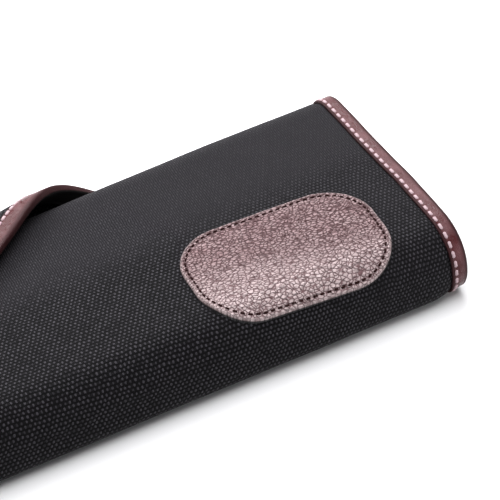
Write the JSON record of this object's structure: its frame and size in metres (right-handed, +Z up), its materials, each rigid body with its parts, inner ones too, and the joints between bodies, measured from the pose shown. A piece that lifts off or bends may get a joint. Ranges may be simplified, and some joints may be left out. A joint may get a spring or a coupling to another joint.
{
  "type": "chef knife roll",
  "caption": "Rolled padded canvas knife roll with leather-bound edges, a stitched leather patch and a tapered flap closed by a stud.",
  "frame": {"origin": "on the surface it lies on, in the middle of its footprint", "axes": "+X along the roll toward the end that carries the patch, +Z up, -Y toward the side that shows the patch"},
  "size_m": [0.45, 0.145, 0.045],
  "materials": {
    "canvas": "coarse charcoal canvas, waxed, matte",
    "leather": "smooth red-brown leather, soft sheen, pale stitching",
    "patch_leather": "pebbled brown leather, soft sheen, dark stitching",
    "brass": "aged, satin"
  },
  "bodies": {
    "root": {"canvas_wrap": "canvas", "closure_flap": "canvas", "binding_right": "leather", "binding_left": "leather", "binding_free_edge": "leather", "flap_binding": "leather", "leather_patch": "patch_leather", "closure_stud": "brass"}
  },
  "joints": []
}
